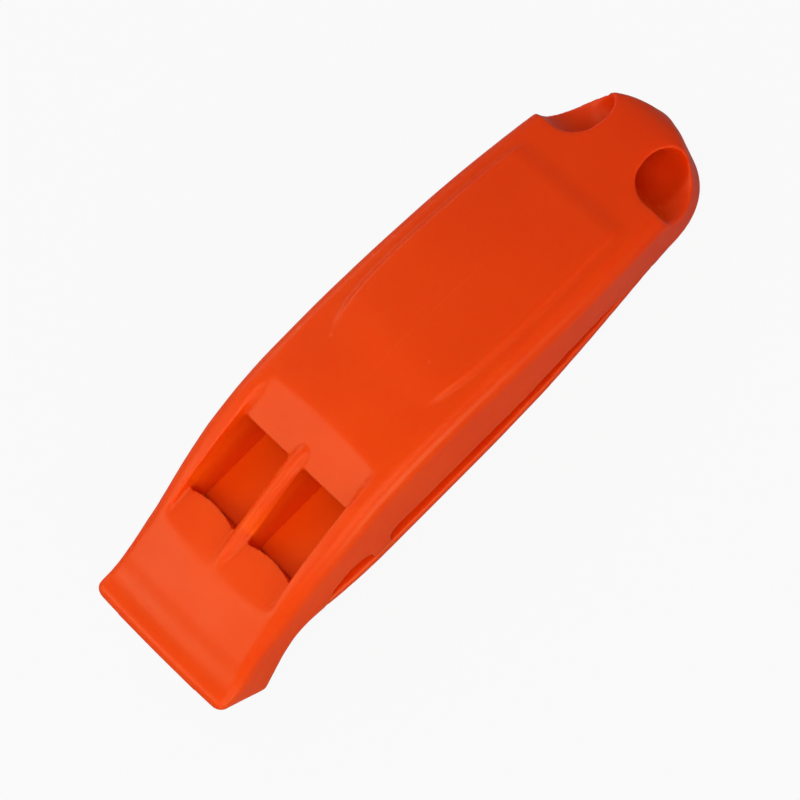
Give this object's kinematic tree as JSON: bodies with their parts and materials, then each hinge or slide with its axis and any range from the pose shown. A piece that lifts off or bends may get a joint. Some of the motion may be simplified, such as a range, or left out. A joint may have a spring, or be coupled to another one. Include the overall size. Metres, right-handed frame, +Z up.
{
  "type": "plastic signal whistle",
  "caption": "Flat pealess signal whistle in orange plastic, with a drooping mouthpiece, twin sound windows, a raised thumb pad and a lanyard passage at the tail.",
  "frame": {"origin": "on the flat underside of the base cover, 40 mm behind the upper lip and midway between the sides", "axes": "+X towards the lanyard end, +Z up out of the top face, +Y to the left seen from the mouth"},
  "size_m": [0.0733, 0.0206, 0.0146],
  "materials": {
    "body_shell": "satin",
    "base_cover": "satin"
  },
  "bodies": {
    "root": {"body_shell": "body_shell", "base_cover": "base_cover"}
  },
  "joints": []
}
